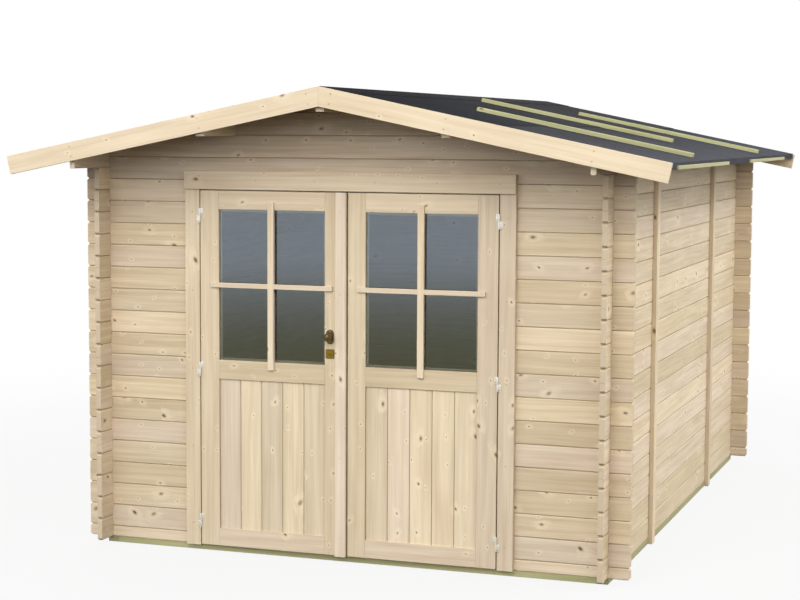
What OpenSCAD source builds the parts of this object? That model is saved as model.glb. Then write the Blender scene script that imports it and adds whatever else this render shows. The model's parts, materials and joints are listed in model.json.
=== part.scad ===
// A log-built garden shed with a low felted roof and a glazed double door, in millimetres.
// The origin is on the ground under the middle of the roof, +Z is up and the doors face -Y.

/* [Log walls] */
// Width of the walls, from the outer face of one side wall to that of the other
wall_w = 2780; // [2500:10:3400]
// Depth of the walls, from the outer face of the front wall to that of the rear wall
wall_d = 3750; // [2800:10:4800]
// Thickness of a log
log_t = 28; // [24:1:40]
// Height of a log as laid
log_h = 118; // [112:1:130]
// Full logs in a side wall, under the wall plate
log_rows = 17; // [17:1:20]
// Length of the side logs past the front and rear walls
side_end = 125; // [80:5:160]
// Length of the front and rear logs past the side walls
front_end = 110; // [80:5:160]
// Depth of the bevel along the edges of a log, half of each V joint
groove = 4.5; // [2:0.5:6]
// Size of the bevel across the end of a log
end_bevel = 10; // [4:1:16]

/* [Base] */
// Height of the foundation beams
beam_h = 30; // [25:1:80]
// Width of the foundation beams
beam_w = 60; // [50:1:90]
// Joists under the floor
joists = 5; // [3:1:8]
// Width of a joist
joist_w = 45; // [35:1:70]
// Thickness of the floor boards
floor_t = 19; // [16:1:28]
// Room left between the floor and the walls
floor_gap = 4; // [2:1:10]

/* [Roof] */
// Slope of the roof in degrees
roof_pitch = 11.5; // [8:0.1:18]
// Height of the wall plate at the outer face of the side wall
plate_h = 110; // [90:1:130]
// Roof past the outer face of the front wall
front_overhang = 400; // [250:5:600]
// Roof past the outer face of the rear wall
rear_overhang = 200; // [160:5:400]
// Bargeboard ends past the outer face of the side walls
eave_overhang = 360; // [200:5:450]
// Thickness of the roof boards
board_t = 18; // [15:1:24]
// Thickness of the roofing felt
felt_t = 3; // [2:0.5:5]
// Height of the felt turned down at the eaves
felt_lip = 30; // [24:1:45]
// Depth of a bargeboard, square to the slope
barge_h = 96; // [90:1:150]
// Thickness of a bargeboard
barge_t = 20; // [16:1:28]
// Height of the front bargeboards above the felt
barge_rise = 2; // [0:1:15]
// Width of a purlin
purlin_w = 45; // [40:1:70]
// Height of a purlin
purlin_h = 95; // [80:1:120]
// Distance of the side purlins from the ridge
purlin_x = 650; // [450:10:900]

/* [Roof strips] */
// Width of the battens on the felt
batten_w = 40; // [25:1:60]
// Thickness of the battens on the felt
batten_t = 22; // [12:1:30]
// Length of a batten
batten_len = 1170; // [800:10:1200]
// Start of the middle batten below the ridge, along the slope
batten_high = 190; // [40:5:300]
// Start of the outer battens below the ridge, along the slope
batten_low = 535; // [200:5:570]
// First batten behind the front edge of the roof
batten_front = 950; // [600:10:1700]
// Last batten before the rear edge of the roof
batten_rear = 1170; // [300:10:1500]
// Shift of the middle batten off the mid-point between the other two
batten_shift = 85; // [-100:5:100]
// Length of an eave strip
strip_len = 1446; // [900:2:1600]
// Height of an eave strip
strip_h = 18; // [12:1:24]
// Thickness of an eave strip
strip_t = 12; // [8:1:20]
// First eave strip behind the front edge of the roof
strip_front = 167; // [50:1:300]
// Last eave strip before the rear edge of the roof
strip_rear = 523; // [100:1:600]

/* [Storm braces] */
// Width of a storm brace
brace_w = 70; // [45:1:95]
// Thickness of a storm brace
brace_t = 24; // [20:1:45]
// Middle of a storm brace from the outer face of the nearer end wall
brace_in = 1000; // [500:10:1200]

/* [Door frame] */
// Clear width between the door posts
door_w = 1644; // [1400:2:1800]
// Logs that the doorway cuts through, above the half log at the bottom
door_rows = 16; // [14:1:16]
// Width of a door post's casing
post_w = 83; // [70:1:110]
// Thickness of a door post's casing
post_t = 28; // [20:1:35]
// Lap of a casing over the ends of the logs
post_lap = 39; // [20:1:50]
// Thickness of the casing inside the shed
inner_t = 20; // [14:1:28]
// Width of the stop that the leaves close against
stop_w = 15; // [10:1:20]
// Height of the frame's head inside the wall
head_jamb = 48; // [30:1:60]
// Height of the casing over the door
head_h = 96; // [80:1:130]
// Thickness of the casing over the door
head_t = 40; // [30:1:50]
// Height of the threshold
sill_h = 24; // [14:1:40]

/* [Door leaves] */
// Thickness of a leaf
leaf_t = 40; // [32:1:45]
// Gap round the leaves
leaf_gap = 6; // [5:0.5:10]
// Gap between the two leaves
meeting_gap = 8; // [6:0.5:12]
// Middle of the gap between the leaves, to the right of the middle of the doorway
meeting_x = 11.5; // [8:0.5:30]
// Width of the hinge stiles
stile_w = 105; // [80:1:130]
// Width of the right leaf's lock stile
lock_stile_w = 96; // [70:1:120]
// Height of the top rails
top_rail = 98; // [70:1:130]
// Height of the middle rails
mid_rail = 101; // [70:1:140]
// Height of the bottom rails
bottom_rail = 94; // [70:1:160]
// Height of the boarded panels
panel_h = 800; // [500:5:900]
// Thickness of the boarded panels
panel_t = 18; // [12:1:24]
// Boards in a panel
panel_boards = 5; // [3:1:8]
// Depth of the V joints between the panel's boards
panel_groove = 4; // [1:0.5:6]
// Set-back of the panels from the face of the leaf
panel_in = 8; // [2:1:14]
// Thickness of the glass
glass_t = 4; // [3:0.5:6]
// Set-back of the glass from the face of the leaf
glass_in = 12; // [4:1:20]
// Width of the upright glazing bars
bar_w = 34; // [20:1:45]
// Height of the level glazing bars
bar_h = 26; // [16:1:40]
// Thickness of the glazing bars
bar_t = 12; // [8:1:20]
// Lap of the glazing bars over the stiles and rails
bar_lap = 42; // [20:1:60]
// Width of the cover strip at the meeting of the leaves
cover_w = 60; // [40:1:70]
// Thickness of the cover strip
cover_t = 15; // [10:1:22]
// Length of the cover strip past the bottom of the leaf
cover_drop = 4; // [0:1:10]

/* [Door fittings] */
// Radius of a hinge's barrel
barrel_r = 5.5; // [4.5:0.5:8]
// Length of a hinge's barrel
barrel_len = 75; // [60:1:100]
// Radius of a hinge's pin
pin_r = 3; // [2:0.25:4]
// Length of a hinge's pin above the lower half of the barrel
pin_len = 28; // [16:1:36]
// Reach of a hinge's plate from the axis
plate_reach = 17; // [12:1:30]
// Thickness of a hinge's plate
plate_t = 2.5; // [1.5:0.5:4]
// Top hinges below the top of the leaf
hinge_top = 132; // [90:1:250]
// Bottom hinges above the bottom of the leaf
hinge_bottom = 128; // [90:1:250]
// Height of the knob above the middle rails
knob_up = 148; // [100:1:250]
// Radius of the knob
knob_r = 21; // [16:1:30]
// Reach of the knob from the face of the leaf
knob_reach = 58; // [45:1:80]
// Radius of the knob's neck
neck_r = 9; // [6:0.5:12]
// Width of the knob's oval plate
rose_w = 42; // [30:1:55]
// Height of the knob's oval plate
rose_h = 76; // [60:1:100]
// Thickness of the knob's oval plate and of the lock plate
rose_t = 5; // [3:0.5:8]
// Height of the lock plate's middle above the middle rails
lock_up = 60; // [30:1:90]
// Side of the square lock plate
lock_size = 48; // [36:1:54]

/* [Fits] */
// Gap between pieces that are seated on each other
seat = 0.25; // [0.1:0.05:0.5]
// Gap round a hinge's pin
pin_gap = 0.05; // [0.02:0.01:0.1]

/* [Hidden] */
$fn = 48;

bare_wood = "#d8c4a0";
planed_wood = "#e6d2b2";
treated_wood = "#a5aa72";
felt_grey = "#4b4d55";
zinc = "#d5d6d4";
bronze = "#6a5638";
brass = "#94791f";
glass_blue = "#5d6a72";

// Heights here are above the foot of the walls, and y is behind the outer face of the front wall
wall_h = log_rows * log_h;
corner_top = (log_rows + 0.5) * log_h;
doorway_top = (door_rows + 0.5) * log_h;
front_len = wall_w + 2 * front_end;
side_len = wall_d + 2 * side_end;
side_joints = [for (k = [1 : log_rows - 1]) k * log_h];
front_joints = [for (k = [0 : door_rows - 1]) (k + 0.5) * log_h];
gable_joints = [for (k = [door_rows + 1 : 2 * log_rows]) (k + 0.5) * log_h];
// Top of the gable logs before they are cut to the slope
gable_top = gable_joints[len(gable_joints) - 1] + log_h;
inner_x = wall_w / 2 - log_t;
// How far a cut runs past the piece
past = 1;

// The roof is built up from the underside of its boards
ridge_under = wall_h + plate_h + tan(roof_pitch) * wall_w / 2;
board_v = board_t / cos(roof_pitch);
felt_v = felt_t / cos(roof_pitch);
felt_under = ridge_under + board_v + seat;
felt_top = felt_under + felt_v;
front_barge_top = felt_top + barge_rise;
rear_barge_top = felt_under - seat;
barge_x = wall_w / 2 + eave_overhang;
lip_x = barge_x - strip_t;
lip_in = lip_x - felt_t;
board_x = lip_in - seat;
roof_front = -front_overhang;
roof_rear = wall_d + rear_overhang;
boards_front = roof_front + barge_t + seat;
boards_rear = roof_rear - barge_t - seat;
roof_mid = (roof_front + roof_rear) / 2;
lip_z = under(board_x) + board_v - felt_lip;
ridge_foot = under(purlin_w / 2) - purlin_h;
side_foot = under(purlin_x - purlin_w / 2) - purlin_h;

// The doorway and its leaves
opening_x = door_w / 2 + post_w - post_lap;
casing_x = door_w / 2 + post_w;
head_z = doorway_top - head_jamb;
leaf_front = -post_t;
leaf_back = leaf_front + leaf_t;
stop_y = leaf_back + leaf_gap;
inner_y = max(log_t, stop_y) + inner_t;
leaf_z0 = leaf_gap;
leaf_z1 = head_z - leaf_gap;
leaf_x = door_w / 2 - leaf_gap;
left_edge = meeting_x - meeting_gap / 2;
right_edge = meeting_x + meeting_gap / 2;
left_lock_stile = lock_stile_w + 2 * meeting_x;
panel_z0 = leaf_z0 + bottom_rail;
panel_z1 = panel_z0 + panel_h;
glass_z0 = panel_z1 + mid_rail;
glass_z1 = leaf_z1 - top_rail;
left_pane = [-leaf_x + stile_w, left_edge - left_lock_stile];
right_pane = [right_edge + lock_stile_w, leaf_x - stile_w];
cover_x = left_edge - cover_w;
fitting_x = (left_pane[1] + cover_x) / 2;
knob_z = glass_z0 + knob_up;
lock_z = glass_z0 + lock_up;
hinge_x = door_w / 2 - leaf_gap / 2;
hinge_y = leaf_front - barrel_r;
hinge_heights = [leaf_z0 + hinge_bottom,
                 (leaf_z0 + hinge_bottom + leaf_z1 - hinge_top) / 2,
                 leaf_z1 - hinge_top];

// Underside of the roof boards at a distance from the ridge
function under(x) = ridge_under - tan(roof_pitch) * abs(x);

// Outline of stacked logs, w wide, with a V of depth d on both edges at each joint
// and half of one at top and foot
function stacked(w, z0, z1, joints, d) = concat(
  [[d, z0], [0, z0 + d]],
  [for (z = joints, s = [-1, 0, 1]) [s == 0 ? d : 0, z + s * d]],
  [[0, z1 - d], [d, z1], [w - d, z1], [w, z1 - d]],
  [for (i = [len(joints) - 1 : -1 : 0], s = [1, 0, -1]) [s == 0 ? w - d : w, joints[i] + s * d]],
  [[w, z0 + d], [w - d, z0]]);

// The same points from right to left, on the other side of the ridge
function mirrored(points) = [for (i = [len(points) - 1 : -1 : 0]) [-points[i][0], points[i][1]]];

// Puts the walls on the foundation, with the middle of the roof over the origin
module in_place() {
  translate([0, -roof_mid, beam_h]) children();
}

// Carries an outline in x and z from y0 to y1
module along_y(y0, y1) {
  translate([0, y1, 0]) rotate([90, 0, 0]) linear_extrude(y1 - y0) children();
}

// Carries an outline in y and z from x0 to x1
module along_x(x0, x1) {
  translate([x0, 0, 0]) rotate([90, 0, 90]) linear_extrude(x1 - x0) children();
}

// A block between two corners
module block(low, high) {
  translate(low) cube(high - low);
}

module both_sides() {
  children();
  mirror([1, 0, 0]) children();
}

// Room in a wall's outline for the logs that cross it, a quarter of a log above and below each joint
module crossings(places, first) {
  for (u = places, k = [0 : log_rows])
    translate([u - seat, (k + first) * log_h - seat]) square([log_t + 2 * seat, log_h / 2 + 2 * seat]);
}

module side_wall() {
  intersection() {
    along_y(-side_end, wall_d + side_end)
      translate([inner_x, 0]) polygon(stacked(log_t, 0, wall_h, side_joints, groove));
    along_x(inner_x, wall_w / 2) difference() {
      translate([-side_end, 0]) polygon(stacked(side_len, 0, wall_h, side_joints, end_bevel));
      crossings([0, wall_d - log_t], -0.25);
    }
  }
}

// The logs of an end wall below the doorway's top, from x0 to x1
module end_wall(x0, x1) {
  intersection() {
    along_x(x0, x1) polygon(stacked(log_t, 0, doorway_top, front_joints, groove));
    along_y(0, log_t) difference() {
      translate([-front_len / 2, 0]) polygon(stacked(front_len, 0, doorway_top, front_joints, end_bevel));
      crossings([-wall_w / 2, inner_x], 0.25);
    }
  }
}

// Right half of a gable's outline, up to the ridge
function gable_half() = concat(
  [[front_len / 2 - end_bevel, doorway_top], [front_len / 2, doorway_top + end_bevel]],
  [for (k = [door_rows + 1 : 1 : log_rows - 1], s = [-1, 0, 1])
    [front_len / 2 - (s == 0 ? end_bevel : 0), (k + 0.5) * log_h + s * end_bevel]],
  [[front_len / 2, corner_top - end_bevel], [front_len / 2 - end_bevel, corner_top],
   [inner_x - seat, corner_top], [inner_x - seat, under(inner_x - seat) - seat],
   [0, ridge_under - seat]]);

// The logs of an end wall above the doorway, cut to the slope of the roof and round the purlins
module gable() {
  intersection() {
    along_x(-front_len / 2, front_len / 2)
      polygon(stacked(log_t, doorway_top, gable_top, gable_joints, groove));
    along_y(0, log_t) difference() {
      polygon(concat(gable_half(), mirrored(gable_half())));
      crossings([-wall_w / 2, inner_x], 0.25);
      purlin_room(0, ridge_foot);
      both_sides() purlin_room(purlin_x, side_foot);
    }
  }
}

module wall_plate() {
  difference() {
    along_y(boards_front, boards_rear) polygon([
      [inner_x + groove, wall_h], [wall_w / 2 - groove, wall_h], [wall_w / 2, wall_h + groove],
      [wall_w / 2, under(wall_w / 2) - seat], [inner_x, under(inner_x) - seat], [inner_x, wall_h + groove]]);
    for (y = [0, wall_d - log_t])
      block([inner_x - past, y - seat, wall_h - past],
            [wall_w / 2 + past, y + log_t + seat, wall_h + log_h / 4 + seat]);
  }
}

// Room in a gable's outline for a purlin that rests in it
module purlin_room(x, foot) {
  translate([x - purlin_w / 2 - seat, foot - seat]) square([purlin_w + 2 * seat, 2 * purlin_h]);
}

module ridge_purlin_outline() {
  side_top = under(purlin_w / 2) - seat;
  polygon([[-purlin_w / 2, ridge_foot], [purlin_w / 2, ridge_foot], [purlin_w / 2, side_top],
           [0, ridge_under - seat], [-purlin_w / 2, side_top]]);
}

module side_purlin_outline() {
  near = purlin_x - purlin_w / 2;
  far = purlin_x + purlin_w / 2;
  polygon([[near, side_foot], [far, side_foot], [far, under(far) - seat], [near, under(near) - seat]]);
}

module roof_slope() {
  along_y(boards_front, boards_rear) polygon([
    [seat, under(seat)], [board_x, under(board_x)],
    [board_x, under(board_x) + board_v], [seat, under(seat) + board_v]]);
}

// A board from y backwards, with its upper edge at top over the ridge
module bargeboard(y, top) {
  end_z = top - tan(roof_pitch) * barge_x;
  along_y(y, y + barge_t) polygon([
    [seat, top - tan(roof_pitch) * seat], [barge_x, end_z],
    [barge_x - barge_h * sin(roof_pitch), end_z - barge_h * cos(roof_pitch)],
    [seat, top - tan(roof_pitch) * seat - barge_h / cos(roof_pitch)]]);
}

module front_bargeboard() { bargeboard(roof_front, front_barge_top); }

module rear_bargeboard() { bargeboard(roof_rear - barge_t, rear_barge_top); }

// A batten across the felt, start below the ridge along the slope
module roof_batten(y, start) {
  translate([0, y, felt_top]) rotate([0, roof_pitch, 0])
    translate([start, -batten_w / 2, seat]) cube([batten_len, batten_w, batten_t]);
}

// The right door post's section, wrapped round the ends of the logs and rebated for the leaf
module door_post() {
  linear_extrude(head_z - seat) polygon([
    [door_w / 2, leaf_front], [casing_x, leaf_front], [casing_x, -seat], [opening_x - seat, -seat],
    [opening_x - seat, log_t + seat], [casing_x, log_t + seat], [casing_x, inner_y],
    [door_w / 2 - stop_w, inner_y], [door_w / 2 - stop_w, stop_y], [door_w / 2, stop_y]]);
}

// Half of each hinge on one side: the lower half with its pin, or the upper half with its bore
module hinge_halves(upper) {
  half = barrel_len / 2;
  for (z = hinge_heights) translate([hinge_x, hinge_y, z]) {
    if (upper) {
      difference() {
        union() {
          translate([0, 0, seat]) cylinder(r = barrel_r, h = half - seat);
          block([-plate_reach, barrel_r - plate_t, seat], [0, barrel_r, half]);
        }
        cylinder(r = pin_r + pin_gap, h = pin_len + 2 * seat);
      }
    } else {
      translate([0, 0, -half]) cylinder(r = barrel_r, h = half);
      cylinder(r = pin_r, h = pin_len);
      block([0, barrel_r - plate_t, -half], [plate_reach, barrel_r, 0]);
    }
  }
}

// Two stiles of a leaf, outside its pane
module leaf_stiles(x0, pane, x1) {
  block([x0, leaf_front, leaf_z0], [pane[0], leaf_back, leaf_z1]);
  block([pane[1], leaf_front, leaf_z0], [x1, leaf_back, leaf_z1]);
}

module leaf_rails(pane) {
  for (z = [[leaf_z0, panel_z0], [panel_z1, glass_z0], [glass_z1, leaf_z1]])
    block([pane[0] + seat, leaf_front, z[0]], [pane[1] - seat, leaf_back, z[1]]);
}

// Upright boards with V joints, between the bottom and the middle rail
module leaf_panel(pane) {
  width = pane[1] - pane[0] - 2 * seat;
  face = leaf_front + panel_in;
  step = width / panel_boards;
  translate([pane[0] + seat, 0, panel_z0 + seat]) linear_extrude(panel_h - 2 * seat) polygon(concat(
    [[0, face + panel_t], [0, face]],
    [for (i = [1 : panel_boards - 1], s = [-1, 0, 1])
      [i * step + s * panel_groove, face + (s == 0 ? panel_groove : 0)]],
    [[width, face], [width, face + panel_t]]));
}

module leaf_glass(pane) {
  y = leaf_front + glass_in;
  block([pane[0] + seat, y, glass_z0 + seat], [pane[1] - seat, y + glass_t, glass_z1 - seat]);
}

// A cross of glazing bars laid on the face of the leaf
module leaf_bars(pane) {
  x = (pane[0] + pane[1]) / 2;
  z = (glass_z0 + glass_z1) / 2;
  along_y(leaf_front - bar_t, leaf_front) {
    translate([x - bar_w / 2, glass_z0 - bar_lap]) square([bar_w, glass_z1 - glass_z0 + 2 * bar_lap]);
    translate([pane[0] - bar_lap, z - bar_h / 2]) square([pane[1] - pane[0] + 2 * bar_lap, bar_h]);
  }
}

module foundation_side_beams() {
  color(treated_wood) in_place()
    both_sides() block([wall_w / 2 - beam_w, 0, -beam_h], [wall_w / 2, wall_d, 0]);
}

module foundation_end_beams() {
  x = wall_w / 2 - beam_w - seat;
  color(treated_wood) in_place()
    for (y = [0, wall_d - beam_w]) block([-x, y, -beam_h], [x, y + beam_w, 0]);
}

module floor_joists() {
  x = wall_w / 2 - beam_w - seat;
  step = wall_d / (joists + 1);
  color(treated_wood) in_place()
    for (k = [1 : joists]) block([-x, k * step - joist_w / 2, -beam_h], [x, k * step + joist_w / 2, 0]);
}

module floor() {
  half_w = inner_x - floor_gap;
  color(bare_wood) in_place() linear_extrude(floor_t) difference() {
    translate([-half_w, log_t + floor_gap]) square([2 * half_w, wall_d - 2 * log_t - 2 * floor_gap]);
    translate([-casing_x - floor_gap, 0]) square([2 * casing_x + 2 * floor_gap, inner_y + floor_gap]);
  }
}

module left_wall() { color(bare_wood) in_place() mirror([1, 0, 0]) side_wall(); }

module right_wall() { color(bare_wood) in_place() side_wall(); }

module front_wall_left() { color(bare_wood) in_place() end_wall(-front_len / 2, -opening_x); }

module front_wall_right() { color(bare_wood) in_place() end_wall(opening_x, front_len / 2); }

module front_gable() { color(bare_wood) in_place() gable(); }

module rear_wall() {
  color(bare_wood) in_place() translate([0, wall_d - log_t, 0]) end_wall(-front_len / 2, front_len / 2);
}

module rear_gable() { color(bare_wood) in_place() translate([0, wall_d - log_t, 0]) gable(); }

module left_wall_plate() { color(bare_wood) in_place() mirror([1, 0, 0]) wall_plate(); }

module right_wall_plate() { color(bare_wood) in_place() wall_plate(); }

module ridge_purlin() {
  color(bare_wood) in_place() along_y(boards_front, boards_rear) ridge_purlin_outline();
}

module side_purlins() {
  color(bare_wood) in_place() both_sides() along_y(boards_front, boards_rear) side_purlin_outline();
}

module left_roof_boards() { color(bare_wood) in_place() mirror([1, 0, 0]) roof_slope(); }

module right_roof_boards() { color(bare_wood) in_place() roof_slope(); }

// One sheet over both slopes and the rear bargeboards, turned down over the edges of the boards at the eaves
module roof_felt() {
  edge_z = felt_under - tan(roof_pitch) * lip_x;
  edge = [[lip_x, edge_z], [lip_x, edge_z + felt_v]];
  color(felt_grey) in_place() {
    along_y(boards_front, roof_rear)
      polygon(concat(edge, [[0, felt_top]], mirrored(edge), [[0, felt_under]]));
    both_sides() along_y(boards_front, boards_rear) polygon([
      [lip_in, lip_z], [lip_x, lip_z], [lip_x, edge_z + felt_v],
      [lip_in, felt_top - tan(roof_pitch) * lip_in]]);
  }
}

module front_left_bargeboard() { color(planed_wood) in_place() mirror([1, 0, 0]) front_bargeboard(); }

module front_right_bargeboard() { color(planed_wood) in_place() front_bargeboard(); }

module rear_left_bargeboard() { color(planed_wood) in_place() mirror([1, 0, 0]) rear_bargeboard(); }

module rear_right_bargeboard() { color(planed_wood) in_place() rear_bargeboard(); }

module eave_strips() {
  color(treated_wood) in_place() both_sides()
    for (y = [roof_front + strip_front, roof_rear - strip_rear - strip_len])
      block([lip_x, y, lip_z], [lip_x + strip_t, y + strip_len, lip_z + strip_h]);
}

module roof_battens() {
  first = roof_front + batten_front;
  last = roof_rear - batten_rear;
  color(treated_wood) in_place() both_sides() {
    roof_batten(first, batten_low);
    roof_batten((first + last) / 2 + batten_shift, batten_high);
    roof_batten(last, batten_low);
  }
}

module storm_braces() {
  x0 = wall_w / 2 + seat;
  x1 = x0 + brace_t;
  color(bare_wood) in_place() both_sides()
    for (y = [brace_in, wall_d - brace_in])
      along_y(y - brace_w / 2, y + brace_w / 2)
        polygon([[x0, -beam_h], [x1, -beam_h], [x1, under(x1) - seat], [x0, under(x0) - seat]]);
}

module left_door_post() { color(bare_wood) in_place() mirror([1, 0, 0]) door_post(); }

module right_door_post() { color(bare_wood) in_place() door_post(); }

// The casing over the door, the head of the frame inside the wall and the casing inside the shed
module door_head() {
  color(bare_wood) in_place() {
    block([-casing_x, -head_t, head_z], [casing_x, -seat, head_z + head_h]);
    block([-opening_x + seat, -seat, head_z], [opening_x - seat, log_t + seat, doorway_top - seat]);
    block([-casing_x, log_t + seat, head_z], [casing_x, inner_y, head_z + head_h]);
    block([-door_w / 2 + stop_w + seat, stop_y, head_z - stop_w],
          [door_w / 2 - stop_w - seat, inner_y, head_z]);
  }
}

module threshold() {
  x = door_w / 2 - stop_w - seat;
  color(bare_wood) in_place() block([-x, stop_y, 0], [x, inner_y, sill_h]);
}

module frame_hinges() { color(zinc) in_place() both_sides() hinge_halves(false); }

module left_stiles() { color(bare_wood) in_place() leaf_stiles(-leaf_x, left_pane, left_edge); }

module left_rails() { color(bare_wood) in_place() leaf_rails(left_pane); }

module left_panel() { color(bare_wood) in_place() leaf_panel(left_pane); }

module left_glass() { color(glass_blue) in_place() leaf_glass(left_pane); }

module left_glazing_bars() { color(planed_wood) in_place() leaf_bars(left_pane); }

module left_hinges() { color(zinc) in_place() mirror([1, 0, 0]) hinge_halves(true); }

module right_stiles() { color(bare_wood) in_place() leaf_stiles(right_edge, right_pane, leaf_x); }

module right_rails() { color(bare_wood) in_place() leaf_rails(right_pane); }

module right_panel() { color(bare_wood) in_place() leaf_panel(right_pane); }

module right_glass() { color(glass_blue) in_place() leaf_glass(right_pane); }

module right_glazing_bars() { color(planed_wood) in_place() leaf_bars(right_pane); }

module right_hinges() { color(zinc) in_place() hinge_halves(true); }

// Bevelled strip on the left leaf, level with its edge so that either leaf opens by itself
module cover_strip() {
  bevel = cover_t / 3;
  foot = leaf_z0 - cover_drop;
  color(planed_wood) in_place() translate([cover_x, leaf_front, foot]) linear_extrude(leaf_z1 - foot)
    polygon([[0, 0], [0, bevel - cover_t], [bevel, -cover_t], [cover_w - bevel, -cover_t],
             [cover_w, bevel - cover_t], [cover_w, 0]]);
}

// Oval plate, neck and flattened ball
module door_knob() {
  ball_z = knob_reach - knob_r * 0.8;
  color(bronze) in_place() translate([fitting_x, leaf_front, knob_z]) rotate([90, 0, 0]) {
    linear_extrude(rose_t) {
      for (s = [-1, 1]) translate([0, s * (rose_h - rose_w) / 2]) circle(d = rose_w);
      square([rose_w, rose_h - rose_w], center = true);
    }
    cylinder(r = neck_r, h = ball_z);
    rotate_extrude() intersection() {
      translate([0, ball_z]) circle(r = knob_r);
      translate([0, ball_z - knob_r * 0.8]) square([knob_r, knob_r * 1.6]);
    }
  }
}

// Square plate with the end of its lock barrel
module lock_plate() {
  color(brass) in_place() translate([fitting_x, leaf_front, lock_z]) rotate([90, 0, 0]) {
    translate([-lock_size / 2, -lock_size / 2, 0]) cube([lock_size, lock_size, rose_t]);
    cylinder(d = lock_size / 3, h = rose_t * 2);
  }
}

foundation_side_beams();
foundation_end_beams();
floor_joists();
floor();
left_wall();
right_wall();
front_wall_left();
front_wall_right();
front_gable();
rear_wall();
rear_gable();
left_wall_plate();
right_wall_plate();
ridge_purlin();
side_purlins();
left_roof_boards();
right_roof_boards();
roof_felt();
front_left_bargeboard();
front_right_bargeboard();
rear_left_bargeboard();
rear_right_bargeboard();
eave_strips();
roof_battens();
storm_braces();
left_door_post();
right_door_post();
door_head();
threshold();
frame_hinges();
left_stiles();
left_rails();
left_panel();
left_glass();
left_glazing_bars();
left_hinges();
right_stiles();
right_rails();
right_panel();
right_glass();
right_glazing_bars();
right_hinges();
cover_strip();
door_knob();
lock_plate();
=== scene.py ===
# Log-built garden shed: timber finishes, boards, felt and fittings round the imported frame
import json
import math
import bmesh
import bpy
from mathutils import Matrix, Vector


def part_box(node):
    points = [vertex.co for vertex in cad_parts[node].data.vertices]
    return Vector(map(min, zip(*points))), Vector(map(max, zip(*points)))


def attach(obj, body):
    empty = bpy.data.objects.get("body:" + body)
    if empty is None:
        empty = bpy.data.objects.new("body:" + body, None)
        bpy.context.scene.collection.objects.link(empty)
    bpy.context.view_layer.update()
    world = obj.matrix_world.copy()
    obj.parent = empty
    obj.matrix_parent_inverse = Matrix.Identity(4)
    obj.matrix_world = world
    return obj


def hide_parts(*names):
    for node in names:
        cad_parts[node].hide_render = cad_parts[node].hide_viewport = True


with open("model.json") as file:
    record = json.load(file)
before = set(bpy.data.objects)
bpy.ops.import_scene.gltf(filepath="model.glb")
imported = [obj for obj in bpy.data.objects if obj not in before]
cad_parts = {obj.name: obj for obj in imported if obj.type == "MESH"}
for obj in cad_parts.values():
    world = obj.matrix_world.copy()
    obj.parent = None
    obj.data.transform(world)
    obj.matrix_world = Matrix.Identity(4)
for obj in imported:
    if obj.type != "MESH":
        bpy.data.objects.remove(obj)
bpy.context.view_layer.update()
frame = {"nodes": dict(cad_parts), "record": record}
nodes = frame["nodes"]
bodyOf = {node: body for body, members in frame["record"]["behaviour"]["bodies"].items() for node in members}

scene = bpy.context.scene
scene.view_settings.view_transform = "Standard"

camera = {
    "place": (3.3623, -10.5105, 2.2341),  # metres, in the shed's frame
    "turn": 0.3383,  # to the left of straight ahead, radians
    "dip": 0.0919,  # below the level
    "roll": 0.0051,
    "lens": 82.2,  # mm
    "sensor": 36.0,
}
eye = bpy.data.objects.new("eye", bpy.data.cameras.new("eye"))
scene.collection.objects.link(eye)
eye.data.sensor_fit = "HORIZONTAL"
eye.data.sensor_width = camera["sensor"]
eye.data.lens = camera["lens"]
eye.matrix_world = (Matrix.Translation(camera["place"]) @ Matrix.Rotation(camera["turn"], 4, "Z")
                    @ Matrix.Rotation(math.pi / 2 - camera["dip"], 4, "X")
                    @ Matrix.Rotation(camera["roll"], 4, "Z"))
scene.camera = eye


# Node helpers: a feed is a socket to link or a value to set
def isSocket(feed):
    return isinstance(feed, bpy.types.NodeSocket)


def send(inputs, feeds):
    for key, feed in feeds.items():
        if isSocket(feed):
            feed.id_data.links.new(feed, inputs[key])
        else:
            inputs[key].default_value = feed


def add(tree, kind, feeds, **settings):
    node = tree.nodes.new(kind)
    for name, value in settings.items():
        setattr(node, name, value)
    send(node.inputs, feeds)
    return node.outputs


def put(kind, feeds, **settings):  # in the tree that its first linked feed comes from
    tree = next(feed.id_data for feed in feeds.values() if isSocket(feed))
    return add(tree, kind, feeds, **settings)


def objectPlace(tree):
    return add(tree, "ShaderNodeTexCoord", {})["Object"]


def calc(how, a, b=0.0, c=0.0):
    return put("ShaderNodeMath", {0: a, 1: b, 2: c}, operation=how)[0]


def times(a, b):
    return calc("MULTIPLY", a, b)


def timesPlus(a, b, c):
    return calc("MULTIPLY_ADD", a, b, c)


def centred(value):  # what runs from 0 to 1 then lies round 0
    return calc("SUBTRACT", value, 0.5)


def vecCalc(how, a, b=(0.0, 0.0, 0.0)):
    result = put("ShaderNodeVectorMath", {0: a, 1: b}, operation=how)
    return result["Value" if how == "LENGTH" else "Vector"]


def stretch(place, by):
    return vecCalc("MULTIPLY", place, by)


def spun(place, angle, axis):
    feeds = {"Vector": place, "Angle": angle}
    return put("ShaderNodeVectorRotate", feeds, rotation_type=axis + "_AXIS")[0]


def vector(x=0.0, y=0.0, z=0.0):
    return put("ShaderNodeCombineXYZ", {0: x, 1: y, 2: z})[0]


def split(place):
    return put("ShaderNodeSeparateXYZ", {0: place})


def fit(value, low, high, first=0.0, last=1.0, smooth=False):
    feeds = {"Value": value, "From Min": low, "From Max": high, "To Min": first, "To Max": last}
    kind = "SMOOTHSTEP" if smooth else "LINEAR"
    return put("ShaderNodeMapRange", feeds, interpolation_type=kind)[0]


def tint(factor, a, b, how="MIX"):
    return put("ShaderNodeMix", {0: factor, 6: a, 7: b}, data_type="RGBA", blend_type=how)[2]


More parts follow.
